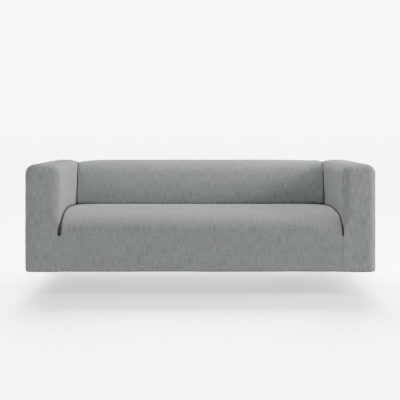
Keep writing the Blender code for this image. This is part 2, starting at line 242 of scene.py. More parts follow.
def lattice(across, depths, heights, sides, keep=None):
    """Quads on the wanted sides of a box that is divided at stations along each axis.

    sides holds (axis, end), with end 0 for the low side. Returns the points, the quads and the
    side of each quad; quads face outwards.
    """
    axes = (across, depths, heights)
    index, points, faces, tags = {}, [], [], []
    for axis, end in sides:
        one, two = (axis + 1) % 3, (axis + 2) % 3
        for i in range(len(axes[one]) - 1):
            for j in range(len(axes[two]) - 1):
                quad = [(i, j), (i + 1, j), (i + 1, j + 1), (i, j + 1)]
                if not end:
                    quad.reverse()
                corners = []
                for first, second in quad:
                    place = [0, 0, 0]
                    place[axis] = end * (len(axes[axis]) - 1)
                    place[one] = first
                    place[two] = second
                    corners.append(tuple(place))
                where = [[axes[n][place[n]] for n in range(3)] for place in corners]
                if keep and not keep((axis, end), np.mean(where, axis=0)):
                    continue
                for place, point in zip(corners, where):
                    if place not in index:
                        index[place] = len(points)
                        points.append(point)
                faces.append([index[place] for place in corners])
                tags.append((axis, end))
    return np.array(points), faces, tags


def unfold(pattern, faces, tags, main):
    """Each corner's place on the flat cloth, with the other sides folded out beside the main."""
    low, high = pattern.min(axis=0), pattern.max(axis=0)
    main_axis, main_end = main
    plane = (high if main_end else low)[main_axis]
    flat = []
    for face, (axis, end) in zip(faces, tags):
        for corner in face:
            x, y, z = pattern[corner]
            u = y if main_axis == 0 else x
            away = abs(pattern[corner][main_axis] - plane)
            if axis == 2:
                flat.append((u, z + away))
            elif axis == main_axis:
                flat.append((u, z))
            else:
                edge = (high if end else low)[axis]
                flat.append((edge + (away if end else -away), z))
    return np.array(flat)


def swept(rows):
    """Points, quads and flat places for equally long rows of points, from bottom to top."""
    rows = np.array(rows)
    count, width = rows.shape[:2]
    points = rows.reshape(-1, 3)
    steps = np.linalg.norm(np.diff(rows, axis=0), axis=2)[:, width // 2]
    along = np.concatenate(([0.0], np.cumsum(steps)))
    steps = np.linalg.norm(np.diff(rows, axis=1), axis=2)
    beside = np.concatenate((np.zeros((count, 1)), np.cumsum(steps, axis=1)), axis=1)
    beside -= beside[:, width // 2][:, None]
    faces, flat = [], []
    for row in range(count - 1):
        for column in range(width - 1):
            quad = [(row, column), (row, column + 1), (row + 1, column + 1), (row + 1, column)]
            faces.append([r * width + c for r, c in quad])
            flat += [(beside[r, c], along[r]) for r, c in quad]
    return points, faces, np.array(flat)


# --- From an open sheet to a piece -------------------------------------------------------

def point_normals(points, faces):
    """Unit normals at the points, from the quads around each."""
    quads = np.array(faces)
    corner = points[quads]
    across = np.cross(corner[:, 2] - corner[:, 0], corner[:, 3] - corner[:, 1])
    normals = np.zeros_like(points)
    for n in range(4):
        np.add.at(normals, quads[:, n], across)
    lengths = np.linalg.norm(normals, axis=1)
    return normals / np.maximum(lengths, 1e-12)[:, None]


def make_piece(name, points, faces, flat, dip=0.0):
    """A closed sheet of cloth from an open one, with its unevenness, replacing its CAD node."""
    held, *shades = crease_shades(points, name.endswith("back_inner"))
    out = relief(points) * (1 - held) - dip
    points = points + point_normals(points, faces) * out[:, None]
    points = settle(points)
    inner = points - point_normals(points, faces) * CLOTH
    count = len(points)

    uses = {}
    for number, face in enumerate(faces):
        for n in range(4):
            uses.setdefault(frozenset((face[n], face[(n + 1) % 4])), []).append((number, n))
    rims, rim_flat = [], []
    for found in uses.values():
        if len(found) > 1:
            continue
        number, n = found[0]
        start, end = faces[number][n], faces[number][(n + 1) % 4]
        rims.append([end, start, start + count, end + count])
        places = flat[number * 4 + n], flat[number * 4 + (n + 1) % 4]
        rim_flat += [places[1], places[0], places[0], places[1]]

    backs = [[corner + count for corner in reversed(face)] for face in faces]
    back_flat = flat.reshape(-1, 4, 2)[:, ::-1].reshape(-1, 2)
    mesh = bpy.data.meshes.new(name)
    mesh.from_pydata(np.concatenate((points, inner)) - ORIGIN, [], faces + backs + rims)
    layer = mesh.uv_layers.new(name="cloth")
    layer.data.foreach_set("uv", np.concatenate((flat, back_flat, rim_flat)).ravel())
    # Painted shade in the creases, beside the arms and at the hem, carried as attributes
    for title, values in zip(("crease_nearness", "crease_painted_shade", "soft_painted_shade"), shades):
        attribute = mesh.attributes.new(title, "FLOAT", "POINT")
        attribute.data.foreach_set("value", np.concatenate((values, values)))
    mesh.shade_smooth()
    mesh.set_sharp_from_angle(angle=SHARP_ANGLE)
    mesh.materials.append(knit)
    piece = bpy.data.objects.new(name, mesh)
    bpy.context.scene.collection.objects.link(piece)
    return piece


# --- The cloth's unevenness --------------------------------------------------------------

# Soft creases: both ends, how far the cloth stands out, and the reach to either side
CREASES = (
    # puckers that run out from the lower end of each tuck
    ((-0.735, 0.000, 0.185), (-0.775, 0.000, 0.120), -0.0012, 0.007),
    ((-0.715, 0.000, 0.165), (-0.690, 0.000, 0.085), -0.0012, 0.008),
    ((0.735, 0.000, 0.185), (0.770, 0.000, 0.125), -0.0011, 0.007),
    ((0.715, 0.000, 0.165), (0.685, 0.000, 0.080), -0.0012, 0.008),
)
# Painted shade: how much of its light a crease loses in the cloth's colour, and how far from it,
# for the left and then the right: at the tucks, beside and behind the seat, between the backrest
# and the arms, in the front seams
TUCK_SHADE = (0.95, 0.0150, 0.94, 0.0095)
SIDE_SHADE = (0.92, 0.0135, 0.85, 0.0085)
REAR_SHADE = (0.34, 0.0060, 0.38, 0.0060)
BACK_SHADE = (0.80, 0.0095, 0.84, 0.0095)
SEAM_SHADE = (0.0, 0.0045, 0.15, 0.0055)
NO_SHADE = (0.0, 0.0045, 0.0, 0.0045)
BACK_SOFT_PAINTED_SHADE = (0.14, 0.030)           # painted softer shade on the backrest beside the arms, and its reach
HEM_PAINTED_SHADE = (0.42, 0.004, 0.017)    # painted shade of the turned-under hem, between two heights
HELD_BY_CREASE = (0.040, 0.080)     # distances from a crease between which the waves set in
PLACE_STEP = 0.002                  # between the places along a crease
SEAT_FRONT_PLACES = 80              # places round each curved stretch of a crease
BACK_FACE_PLACES = 90
BACK_TOP_PLACES = 50
TUCK_TO_SIDE = (0.7, 1.5)           # turn of the seat's front over which the tuck's painted shade fades
CORNER_SHARE = 0.45                 # of the backrest's painted shade, in the seat's rear corners
CORNER_REACH = 0.04

# How the cloth hangs: each distance, and how far it reaches
HEM_DROP = 0.004                    # of the hem, fading out up to HEM_DROP_TOP
HEM_DROP_TOP = 0.10
ARM_DROP = 0.0025                   # more, below the arms
ARM_DROP_RUN = (ARM_INNER - 0.03, ARM_INNER + 0.07)
HEM_SPREAD = 0.003                  # of each side, at the hem, on top of TOP_SPREAD
TOP_SPREAD = 0.0014
LEFT_TUCK_SHIFT = 0.0085            # of the left tuck, towards the middle
LEFT_TUCK_REACH = 0.06
WATERFALL_REACH = (0.06, 0.26)      # depths between which that shift fades out
BACK_FLARE = 0.013                  # of the backrest's ends, outwards
BACK_FLARE_REACH = 0.07
ARM_CROWN = 0.0045                  # of the arms' tops
ARM_CROWN_MIDDLE = 0.840
ARM_CROWN_REACH = 0.06
ARM_CROWN_REAR = 0.30               # distance from the rear over which the crown grows
RIGHT_FILL = 0.0055                 # of the hollow at the backrest's right end
RIGHT_FILL_REACH = 0.035
BROAD_WAVES = (3.1, 0.0011)         # waves to a metre, and how far they stand out
MIDDLE_WAVES = (9.0, 0.0004)


def crease(points, start, end, height, reach):
    """A soft trough or ridge along a line, tapering to nothing at both ends."""
    start, end = np.array(start), np.array(end)
    along = end - start
    share = np.clip((points - start) @ along / (along @ along), 0.0, 1.0)
    gap = np.linalg.norm(points - start - share[:, None] * along, axis=1)
    return height * np.sqrt(np.sin(math.pi * share)) * np.exp(-(gap / reach) ** 2)


def bell(distance, reach):
    """1 at no distance, falling smoothly towards 0 past the reach on both sides."""
    return np.exp(-(distance / reach) ** 2)


def settle(points):
    """The points moved as the cloth hangs: lower and wider at the hem, fuller at the arms."""
    x, depth, height = points.T
    wider = HEM_SPREAD * (1 - ease(height, 0.0, HEIGHT)) + TOP_SPREAD
    drop = HEM_DROP + ARM_DROP * ease(np.abs(x), *ARM_DROP_RUN)
    shifted = bell(x + ARM_INNER, LEFT_TUCK_REACH) * (1 - ease(depth, *WATERFALL_REACH))
    flared = BACK_FLARE * bell(np.abs(x) - ARM_INNER, BACK_FLARE_REACH) * np.sign(x) \
        * ease(depth, SEAT_DEPTH, BACK_TOP_START) * (1 - ease(depth, BACK_TOP_START, REAR_SEAM))
    crown = ARM_CROWN * bell(np.abs(x) - ARM_CROWN_MIDDLE, ARM_CROWN_REACH) \
        * ease(height, VALLEY_BASE, HEIGHT) * ease(DEPTH - depth, 0.0, ARM_CROWN_REAR)
    crown += RIGHT_FILL * bell(x - ARM_INNER, RIGHT_FILL_REACH) \
        * ease(height, VALLEY_BASE, HEIGHT - VALLEY_DEPTH)
    return np.column_stack((x * (1 + wider / HALF_WIDTH) + LEFT_TUCK_SHIFT * shifted + flared,
                            depth,
                            height - drop * (1 - ease(height, 0.0, HEM_DROP_TOP)) + crown))


def relief(points):
    """How far the cloth stands out from the taut shape."""
    out = np.zeros(len(points))
    for waves, height in (BROAD_WAVES, MIDDLE_WAVES):
        out += height * np.array([noise.noise(Vector(point) * waves) for point in points])
    for line in CREASES:
        out += crease(points, *line)
    return out


def blend(one, two, share):
    """Numbers that lie a share of the way from one tuple to another."""
    return tuple(a + (b - a) * float(share) for a, b in zip(one, two))


def crease_places():
    """Places along the creases on the right-hand side, each with its painted shades and reaches."""
    found = []
    for height in np.arange(0.0, TUCK_END - TUCK_EASE, PLACE_STEP):
        found.append((ARM_INNER, 0.0, height, *SEAM_SHADE))
    for height in np.arange(TUCK_END, WATERFALL_START, PLACE_STEP):
        found.append((ARM_INNER, 0.0, height, *TUCK_SHADE))
    for turn in np.linspace(0.0, math.pi / 2, SEAT_FRONT_PLACES):
        depth = WATERFALL_RUN * (1 - math.cos(turn))
        shade = blend(TUCK_SHADE, SIDE_SHADE, ease(turn, *TUCK_TO_SIDE))
        found.append((ARM_INNER, depth, float(seat_edge_height(depth)), *shade))
    for depth in np.arange(WATERFALL_RUN, SEAT_DEPTH, PLACE_STEP):
        found.append((ARM_INNER, depth, float(seat_edge_height(depth)), *SIDE_SHADE))
    for across in np.arange(0.0, ARM_INNER, PLACE_STEP):
        cornered = ease(across, ARM_INNER - CORNER_REACH, ARM_INNER)
        shade = blend(REAR_SHADE, BACK_SHADE, CORNER_SHARE * cornered)
        found.append((across, SEAT_DEPTH, SEAT_CREASE_TOP, *shade))
    for lean in np.linspace(BACK_LEAN_LOW, BACK_LEAN_HIGH, BACK_FACE_PLACES):
        depth = BACK_FRONT + BACK_FACE_RADIUS * (math.cos(BACK_LEAN_LOW) - math.cos(lean))
        height = SEAT_CREASE_TOP + BACK_FACE_RADIUS * (math.sin(lean) - math.sin(BACK_LEAN_LOW))
        found.append((ARM_INNER, depth, height, *BACK_SHADE))
    for turn in np.linspace(BACK_LEAN_HIGH, math.pi / 2, BACK_TOP_PLACES):
        depth = BACK_TOP_START - BACK_TOP_RADIUS * math.cos(turn)
        height = HEIGHT - BACK_TOP_RADIUS * (1 - math.sin(turn))
        sunk = VALLEY_DEPTH * float(ease(height, SEAT_CREASE_TOP, HEIGHT))
        shade = blend(BACK_SHADE, NO_SHADE, ease(depth, BACK_ARC_DEPTH, REAR_SEAM))
        found.append((float(seam_line(depth)), depth, height - sunk, *shade))
    for depth in np.arange(BACK_TOP_START, REAR_SEAM, PLACE_STEP)[1:]:
        found.append((float(seam_line(depth)), depth, HEIGHT - VALLEY_DEPTH, *NO_SHADE))
    return found


PLACES = crease_places()
NEAREST = KDTree(len(PLACES))
for number, place in enumerate(PLACES):
    NEAREST.insert(place[:3], number)
NEAREST.balance()


def crease_shades(points, on_back):
    """How far a crease holds each point, its nearness, the crease's painted shade and the soft
    painted shade.

    Held is 1 where the cloth has no waves. Nearness is the distance from the crease as a share
    of its reach: 1 where the painted shade ends, 0 on the crease and less than 0 inside it.
    """
    distances, reaches, shades = [], [], []
    for x, depth, height in points:
        _, number, distance = NEAREST.find((abs(x), depth, height))
        shade, reach = PLACES[number][5:] if x > 0 else PLACES[number][3:5]
        distances.append(distance)
        reaches.append(reach)
        shades.append(shade)
    distances = np.array(distances)
    x, depth, height = points.T
    under_seat = (depth < SEAT_DEPTH) & (height < seat_edge_height(depth)) & (height > TUCK_END)
    behind_back = (depth > SEAT_DEPTH) & (height < BACK_ARC_HEIGHT) \
        & (height < back_face_height(np.minimum(depth, BACK_ARC_DEPTH)))
    on_arm = np.abs(np.abs(x) - ARM_INNER) < SEAM_GAP
    inside = on_arm & (under_seat | behind_back)
    held = 1 - ease(distances, *HELD_BY_CREASE)
    nearness = np.where(inside, -distances, distances) / np.array(reaches)
    # Painted shade: darker towards the turned-under hem, and on the backrest beside the arms
    shade, low, high = HEM_PAINTED_SHADE
    soft = shade * (1 - ease(height, low, high))
    if on_back:
        shade, reach = BACK_SOFT_PAINTED_SHADE
        beside = np.maximum(0.0, ARM_INNER - np.abs(x))
        soft = soft + shade * np.exp(-beside / reach) * (1 - ease(depth, BACK_ARC_DEPTH, REAR_SEAM))
    return held, nearness, np.array(shades), soft


def seam_dip(distance):
    """How far the cloth sinks beside a seam, at a distance from it."""
    return SEAM_DIP * np.maximum(0.0, 1 - distance / SEAM_REACH) ** 2


# --- Panels ------------------------------------------------------------------------------

def section_shares():
    """Places across half a swept panel, as shares from its end to its middle."""
    return np.array(stations(0.0, *END_QUADS))


def section(point, normal, half_width, creased, fullness):
    """One row of a swept panel: its width, with both ends turned in.

    creased is 0 for ends that lie flat in a seam and 1 for ends turned down into a crease.
    """
    shoulder = SEAM_SHOULDER + (CREASE_SHOULDER - SEAM_SHOULDER) * creased
    allowance = SEAM_ALLOWANCE + (CREASE_ALLOWANCE - SEAM_ALLOWANCE) * creased
    slot = CREASE_SLOT * creased
    inward = section_shares() * (half_width - slot - shoulder)
    end = fullness(0.0)
    turns = np.linspace(0.0, math.pi / 2, TURN_STATIONS)[:-1]
    half_x = [half_width, half_width - slot / 3, half_width - slot]
    half_x += list(half_width - slot - shoulder * (1 - np.cos(turns[1:])))
    half_out = list(end - np.linspace(allowance, shoulder, 3))
    half_out += list(end - shoulder * (1 - np.sin(turns[1:])))
    half_x += list(half_width - slot - shoulder - inward)
    half_out += list(fullness(inward))
    half_x, half_out = np.array(half_x), np.array(half_out)
    x = np.concatenate((-half_x, half_x[-2::-1]))
    out = np.concatenate((half_out, half_out[-2::-1]))
    return np.column_stack((x, point[0] + normal[0] * out, point[1] + normal[1] * out))


def profile_normals(profile):
    """Outward unit normals of a profile of (depth, height) points that runs up and back."""
    along = np.gradient(np.array(profile), axis=0)
    along /= np.linalg.norm(along, axis=1)[:, None]
    return np.column_stack((-along[:, 1], along[:, 0]))


def seat_front():
    """Seat top, rounded front edge and apron, with its hem and a turned-down rear edge."""
    rear = SEAT_DEPTH - HALF_GAP
    profile = [(HEM_RADIUS + HEM_RETURN, 0.0), (HEM_RADIUS + HEM_RETURN / 2, 0.0)]
    for turn in np.linspace(math.pi / 2, 0.0, HEM_STEPS + 1):
        profile.append((HEM_RADIUS * (1 - math.cos(turn)), HEM_RADIUS * (1 - math.sin(turn))))
    profile += [(0.0, height) for height in stations(HEM_RADIUS, WATERFALL_START)[1:]]
    for turn in np.linspace(0.0, math.pi / 2, SEAT_FRONT_ROWS)[1:]:
        profile.append((WATERFALL_RUN * (1 - math.cos(turn)),
                        WATERFALL_START + WATERFALL_DROP * math.sin(turn)))
    profile += [(depth, SEAT_HEIGHT)
                for depth in stations(WATERFALL_RUN, rear - REAR_SHOULDER)[1:-1]]
    profile = [(depth, height + seat_rise(depth)) for depth, height in profile]
    flat_rows = len(profile)
    for turn in np.linspace(0.0, math.pi / 2, TURN_STATIONS):
        profile.append((rear - REAR_SHOULDER * (1 - math.sin(turn)),
                        SEAT_HEIGHT - REAR_SHOULDER * (1 - math.cos(turn))))
    profile.append((rear, SEAT_HEIGHT - CREASE_ALLOWANCE))

    rows = []
    for row, (point, normal) in enumerate(zip(profile, profile_normals(profile))):
        creased = ease(point[1], TUCK_END - TUCK_EASE, TUCK_END + TUCK_EASE)
        crown = SEAT_CROWN * ease(point[1], WATERFALL_START, SEAT_HEIGHT)
        if row >= flat_rows:
            crown, normal = SEAT_CROWN, (0.0, 1.0)
            creased = (len(profile) - 1 - row) / (len(profile) - 1 - flat_rows)
        rows.append(section(point, normal, ARM_INNER - SEAM_GAP, creased,
                            lambda inward: crown * (1 - np.exp(-inward / CROWN_EASE))))
    points, faces, flat = swept(rows)
    return points, faces, flat, np.zeros(len(points))


def back_inner():
    """The backrest's leaning front, rolled over its top, with its bottom and ends turned in."""
    foot = np.linspace(SEAT_HEIGHT - CREASE_ALLOWANCE, SEAT_CREASE_TOP - BACK_TUCK / 2,
                       BACK_FOOT_ROWS)
    profile = [(BACK_FRONT + share * BACK_TUCK, height)
               for share, height in zip(np.linspace(0.0, 1.0, BACK_FOOT_ROWS), foot)]
    for turn in np.linspace(0.0, math.pi / 2, TURN_STATIONS)[1:-1]:
        profile.append((BACK_FRONT + BACK_TUCK * (1 - math.sin(turn)),
                        SEAT_CREASE_TOP - BACK_TUCK / 2 + BACK_TUCK_RISE * (1 - math.cos(turn))))
    turned_back = len(profile)
    for lean in np.linspace(BACK_LEAN_LOW, BACK_LEAN_HIGH, BACK_FACE_ROWS)[2:]:
        rise = math.sin(lean) - math.sin(BACK_LEAN_LOW)
        retreat = math.cos(BACK_LEAN_LOW) - math.cos(lean)
        profile.append((BACK_FRONT + BACK_FACE_RADIUS * retreat,
                        SEAT_CREASE_TOP + BACK_FACE_RADIUS * rise))
    for turn in np.linspace(BACK_LEAN_HIGH, math.pi / 2, BACK_TOP_ROWS)[1:-1]:
        profile.append((BACK_TOP_START - BACK_TOP_RADIUS * math.cos(turn),
                        HEIGHT - BACK_TOP_RADIUS * (1 - math.sin(turn))))
    last = REAR_SEAM - HALF_GAP
    profile += [(depth, HEIGHT) for depth in stations(
        BACK_TOP_START, last - BESIDE_SEAM[3], *[(last - gap, 1) for gap in BESIDE_SEAM[2::-1]],
        (last, 1))]
    # The turned-back foot's ends go in along the face's normal, so that they don't cross
    normals = profile_normals(profile)
    normals[:turned_back] = normals[turned_back]
    rows = []
    for row, (point, normal) in enumerate(zip(profile, normals)):
        depth, height = point
        creased = 1 - ease(depth, REAR_SEAM - BACK_FLAT_RUN, REAR_SEAM)
        creased *= min(row / (len(foot) - 1), 1.0)
        sunk = VALLEY_DEPTH * ease(height, SEAT_CREASE_TOP, HEIGHT)
        rows.append(section(point, normal, seam_line(depth) - SEAM_GAP, creased,
                            lambda inward: -sunk * np.exp(-inward / VALLEY_ON_BACK)))
    points, faces, flat = swept(rows)
    return points, faces, flat, seam_dip(last - points[:, 1])


def wrapped(parts, main, on_arm, side, distance):
    """A lattice wrapped over the sofa's edges, on its right side or mirrored to its left."""
    pattern, faces, tags = parts
    flat = unfold(pattern, faces, tags, main)
    right = pattern.copy()
    right[:, 0] = np.abs(pattern[:, 0])
    points = skin(right, on_arm)
    points[:, 0] = np.copysign(points[:, 0], pattern[:, 0]) * side
    if side < 0:
        faces = [face[::-1] for face in faces]
        flat = flat.reshape(-1, 4, 2)[:, ::-1].reshape(-1, 2)
    return points, faces, flat, seam_dip(distance(pattern))


def hem_stations():
    """Pattern heights from the end of the hem's return to the top of its curl."""
    return stations(HEM_END, (HEM_RADIUS - HEM_CURL, RETURN_STEPS), (HEM_RADIUS, HEM_STEPS))


def near(line, way):
    """Stations beside a seam, going away from it."""
    return [(line + way * gap, 1) for gap in BESIDE_SEAM]


def back_outer():
    """The rear panel, over the rear top edge, with its hem."""
    end = SIDE_SEAM - HALF_GAP
    half = stations(0.0, ARM_INNER - REAR_END_STRIP, ARM_INNER + VALLEY_FLARE,
                    end - BESIDE_SEAM[3], *near(end, -1)[2::-1], (end, 1), step=REAR_STEP)
    across = [-x for x in half[:0:-1]] + half
    start = REAR_SEAM + HALF_GAP
    depths = stations(start, *near(start, 1), (DEPTH, ROUND_STEPS))
    heights = hem_stations() + stations(HEM_RADIUS, HEIGHT - EDGE_Z, (HEIGHT, ROUND_STEPS))[1:]
    parts = lattice(across, depths, heights, ((1, 1), (2, 1)))

    def distance(pattern):
        return np.minimum(end - np.abs(pattern[:, 0]), pattern[:, 1] - start)
    return wrapped(parts, (1, 1), False, 1, distance)


def arm_outer(side):
    """An arm's outer side, round its front, top and rear edges, with its hem."""
    start = SIDE_SEAM + HALF_GAP
    across = stations(start, *near(start, 1), (HALF_WIDTH, ROUND_STEPS))
    depths = stations(0.0, (EDGE_Y, ROUND_STEPS), DEPTH - EDGE_Y, (DEPTH, ROUND_STEPS))
    heights = hem_stations() + stations(HEM_RADIUS, HEIGHT - EDGE_Z, (HEIGHT, ROUND_STEPS))[1:]
    parts = lattice(across, depths, heights, ((0, 1), (1, 0), (1, 1), (2, 1)))
    return wrapped(parts, (0, 1), False, side, lambda pattern: pattern[:, 0] - start)


def arm_front(side):
    """An arm's front facing, round its inner and top edges, with its hem."""
    side_end, rear_end = SIDE_SEAM - HALF_GAP, FRONT_SEAM - HALF_GAP
    strip, strip_quads = INNER_EDGE_QUADS
    across = stations(ARM_INNER, (ARM_INNER + strip, strip_quads),
                      (ARM_INNER + EDGE_X, ROUND_STEPS), side_end - BESIDE_SEAM[3],
                      *near(side_end, -1)[2::-1], (side_end, 1), step=ARM_STEP)
    depths = stations(0.0, (rear_end - BESIDE_SEAM[3], ROUND_STEPS),
                      *near(rear_end, -1)[2::-1], (rear_end, 1))
    strip_bottom = HEM_RADIUS + PATTERN_MARGIN
    heights = hem_stations() + stations(HEM_RADIUS, strip_bottom, TUCK_END, TUCK_OPEN,
                                        HEIGHT - EDGE_Z, (HEIGHT, ROUND_STEPS), step=ARM_STEP)[1:]

    def keep(tag, centre):
        return tag != (0, 0) or centre[2] > strip_bottom
    parts = lattice(across, depths, heights, ((1, 0), (2, 1), (0, 0)), keep)

    def distance(pattern):
        return np.minimum(side_end - pattern[:, 0], rear_end - pattern[:, 1])
    return wrapped(parts, (1, 0), True, side, distance)


def arm_lower_edge(depth):
    """Where an arm's inner panel ends, below the seat and behind the backrest's front."""
    behind = np.clip(back_face_height(depth - CREASE_ALLOWANCE) - CREASE_ALLOWANCE - VALLEY_DEPTH,
                     SEAT_HEIGHT - CREASE_ALLOWANCE, VALLEY_BASE)
    ahead = seat_edge_height(depth) - CREASE_ALLOWANCE
    return np.where(depth < SEAT_DEPTH + CREASE_ALLOWANCE, ahead, behind)


def arm_inner(side):
    """An arm's inner face, rolled over the arm's top."""
    side_end = SIDE_SEAM - HALF_GAP
    front, rear = FRONT_SEAM + HALF_GAP, REAR_SEAM - HALF_GAP
    across = stations(ARM_INNER, (ARM_INNER + EDGE_X, ROUND_STEPS), side_end - BESIDE_SEAM[3],
                      *near(side_end, -1)[2::-1], (side_end, 1), step=ARM_STEP)
    depths = stations(front, *near(front, 1), SEAT_DEPTH + CREASE_ALLOWANCE, BACK_TOP_START,
                      rear - BESIDE_SEAM[3], *near(rear, -1)[2::-1], (rear, 1))
    warp_top = HEIGHT - EDGE_Z - PATTERN_MARGIN
    heights = stations(0.0, (warp_top / 5, FACE_QUADS), (warp_top, FACE_QUADS),
                       HEIGHT - EDGE_Z, (HEIGHT, ROUND_STEPS))
    pattern, faces, tags = lattice(across, depths, heights, ((0, 0), (2, 1)))
    share = np.maximum(0.0, 1 - pattern[:, 2] / warp_top)
    pattern[:, 2] += share * arm_lower_edge(pattern[:, 1])

    def distance(pattern):
        beside = np.minimum(pattern[:, 1] - front, rear - pattern[:, 1])
        return np.minimum(side_end - pattern[:, 0], beside)
    return wrapped((pattern, faces, tags), (0, 0), True, side, distance)


# --- Waffle knit -------------------------------------------------------------------------

class Nodes:
    """Adds and joins the nodes of a material."""

    def __init__(self, material):
        material.use_nodes = True
        self.tree = material.node_tree
        self.shader = self.tree.nodes["Principled BSDF"]

    def add(self, kind, values=(), **settings):
        node = self.tree.nodes.new(kind)
        for key, value in settings.items():
            setattr(node, key, value)
        for key, value in dict(values).items():
            if isinstance(value, bpy.types.NodeSocket):
                self.tree.links.new(value, node.inputs[key])
            else:
                node.inputs[key].default_value = value
        return node

    def math(self, operation, one, two=0.0, three=0.0):
        """The result of one Math node."""
        values = {0: one, 1: two, 2: three}
        return self.add("ShaderNodeMath", values, operation=operation).outputs[0]

    def smooth(self, value, start, end, low=0.0, high=1.0):
        """low before start, high after end, and smooth between."""
        values = {"Value": value, "From Min": start, "From Max": end,
                  "To Min": low, "To Max": high}
        return self.add("ShaderNodeMapRange", values, interpolation_type="SMOOTHSTEP").outputs[0]

    def noise(self, place, scale, detail=2.0):
        """Noise from 0 to 1 over the flat cloth, with scale in waves to a metre each way."""
        stretched = self.add("ShaderNodeVectorMath", {0: place, 1: (*scale, 1.0)},
                             operation="MULTIPLY").outputs[0]
        values = {"Vector": stretched, "Scale": 1.0, "Detail": detail, "Roughness": 0.5}
        return self.add("ShaderNodeTexNoise", values, noise_dimensions="2D").outputs["Fac"]


WAFFLE = (0.0046, 0.0052)       # width and height of one cell of the knit
CLOTH_COLOUR = (0.262, 0.285, 0.272)
# Noises of the heather: waves to a metre across and along the cloth
STREAK_WAVES = (310.0, 18.0)
FLECK_WAVES = (300.0, 170.0)
ROW_WAVES = (12.0, 300.0)
CLOUD_WAVES = (7.0, 4.0)
YARN_WAVES = (1500.0, 900.0)
# The darkest and lightest that each makes the cloth; streaks multiply and the others add
STREAK_SHADES = (0.84, 1.16)
FLECK_SHADES = (-0.12, 0.12)
ROW_SHADES = (-0.07, 0.07)
CLOUD_SHADES = (-0.015, 0.015)
GROOVE_PAINTED_SHADES = (0.72, 1.06)    # painted shade in a groove, and a cell's lighter top
GROOVE_EDGES = (0.95, 0.30)     # where a groove ends and a cell's flat middle begins


def knit_material():
    """The cloth: heathered yarn in raised cells, with painted shade in the grooves, the creases and
    under the hem.
    """
    material = bpy.data.materials.new("waffle_knit_dressed")
    nodes = Nodes(material)
    cloth = nodes.add("ShaderNodeUVMap", uv_map="cloth").outputs[0]

    # Cells: raised rounded squares with narrow grooves between
    split = nodes.add("ShaderNodeSeparateXYZ", {0: cloth})
    sides = []
    for axis, width in enumerate(WAFFLE):
        place = nodes.math("DIVIDE", split.outputs[axis], width)
        away = nodes.math("PINGPONG", place, 0.5)
        sides.append(nodes.math("POWER", nodes.math("MULTIPLY", away, 2.0), 3.0))
    corner = nodes.math("ADD", *sides)
    raised = nodes.smooth(corner, *GROOVE_EDGES)

    # Heather: thin streaks of lighter and darker yarn, and short flecks
    streaks = nodes.noise(cloth, STREAK_WAVES, 1.0)
    flecks = nodes.noise(cloth, FLECK_WAVES, 1.0)
    rows = nodes.noise(cloth, ROW_WAVES, 1.0)
    clouds = nodes.noise(cloth, CLOUD_WAVES, 1.0)
    shade = nodes.math("ADD", nodes.smooth(streaks, 0.25, 0.75, *STREAK_SHADES),
                       nodes.smooth(flecks, 0.25, 0.75, *FLECK_SHADES))
    shade = nodes.math("ADD", shade, nodes.smooth(rows, 0.25, 0.75, *ROW_SHADES))
    shade = nodes.math("ADD", shade, nodes.smooth(clouds, 0.2, 0.8, *CLOUD_SHADES))
    # Painted shade: the grooves between the cells darker
    shade = nodes.math("MULTIPLY", shade, nodes.smooth(raised, 0.0, 1.0, *GROOVE_PAINTED_SHADES))

    # Painted shade: the colour darkened in the creases, at the hem and on the backrest beside the
    # arms
    near = nodes.add("ShaderNodeAttribute", attribute_name="crease_nearness").outputs["Fac"]
    deep = nodes.add("ShaderNodeAttribute", attribute_name="crease_painted_shade").outputs["Fac"]
    soft = nodes.add("ShaderNodeAttribute", attribute_name="soft_painted_shade").outputs["Fac"]
    hidden = nodes.math("MULTIPLY_ADD", deep, nodes.smooth(near, 0.25, 1.0, 1.0, 0.0), soft)
    shade = nodes.math("MULTIPLY", shade, nodes.math("SUBTRACT", 1.0, hidden))
    colour = nodes.add("ShaderNodeVectorMath", {0: CLOTH_COLOUR, "Scale": shade},
                       operation="SCALE").outputs[0]
    nodes.tree.links.new(colour, nodes.shader.inputs["Base Color"])

    yarn = nodes.noise(cloth, YARN_WAVES)
    height = nodes.math("MULTIPLY_ADD", yarn, 0.25, raised)
    bump = nodes.add("ShaderNodeBump", {"Height": height, "Strength": 0.55, "Distance": 0.0007})
    nodes.tree.links.new(bump.outputs[0], nodes.shader.inputs["Normal"])
    nodes.shader.inputs["Roughness"].default_value = 0.9
    nodes.shader.inputs["Specular IOR Level"].default_value = 0.25
    nodes.shader.inputs["Sheen Weight"].default_value = 0.25
    nodes.shader.inputs["Sheen Roughness"].default_value = 0.5
    nodes.shader.inputs["Sheen Tint"].default_value = (0.75, 0.80, 0.78, 1.0)
    return material


knit = knit_material()

# --- The cover ---------------------------------------------------------------------------

# Each panel's flat cut: width and length of its rectangle, and the area cut from it
CUTS = {
    "seat_front": ((1.48, 0.85), 1.25),
    "back_inner": ((1.53, 0.47), 0.69),
    "back_outer": ((1.71, 0.61), 1.03),
    "arm_inner": ((0.81, 0.44), 0.27),
    "arm_front": ((0.17, 0.61), 0.095),
    "arm_outer": ((0.98, 0.62), 0.57),
}

made = {"seat_front": seat_front(), "back_inner": back_inner(), "back_outer": back_outer()}
for label, side in (("left", -1), ("right", 1)):
    made["arm_inner_" + label] = arm_inner(side)
    made["arm_front_" + label] = arm_front(side)
    made["arm_outer_" + label] = arm_outer(side)

for node, sheet in made.items():
    piece = make_piece("dressed_" + node, *sheet)
    size, area = CUTS[node.replace("_left", "").replace("_right", "")]
    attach(piece, "root")
    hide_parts(node)

# --- Floor, light and camera --------------------------------------------------------------

